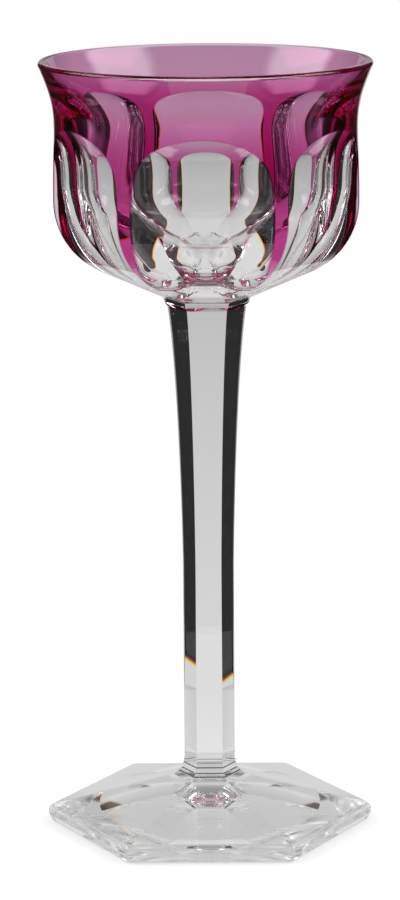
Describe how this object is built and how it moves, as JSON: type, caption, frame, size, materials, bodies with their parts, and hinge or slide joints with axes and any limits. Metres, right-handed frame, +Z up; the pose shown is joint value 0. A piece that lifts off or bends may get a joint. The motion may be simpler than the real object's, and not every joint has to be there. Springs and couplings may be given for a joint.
{
  "type": "hock wine glass",
  "caption": "Tall stemmed hock glass in clear crystal with a purple casing cut through by arched panels, a six-sided stem and a thick hexagonal foot.",
  "frame": {"origin": "centre of the foot on the plane that the glass rests on, on the axis of the stem", "axes": "+Z up the stem towards the rim, -Y to the front, where a flat of the stem and the middle of a panel face the viewer"},
  "size_m": [0.0834, 0.0834, 0.195],
  "materials": {
    "crystal": "polished clear lead crystal",
    "amethyst_glass": "polished purple glass"
  },
  "bodies": {
    "root": {"foot": "crystal", "stem": "crystal", "collar": "crystal", "bowl": "crystal", "casing": "amethyst_glass"}
  },
  "joints": []
}
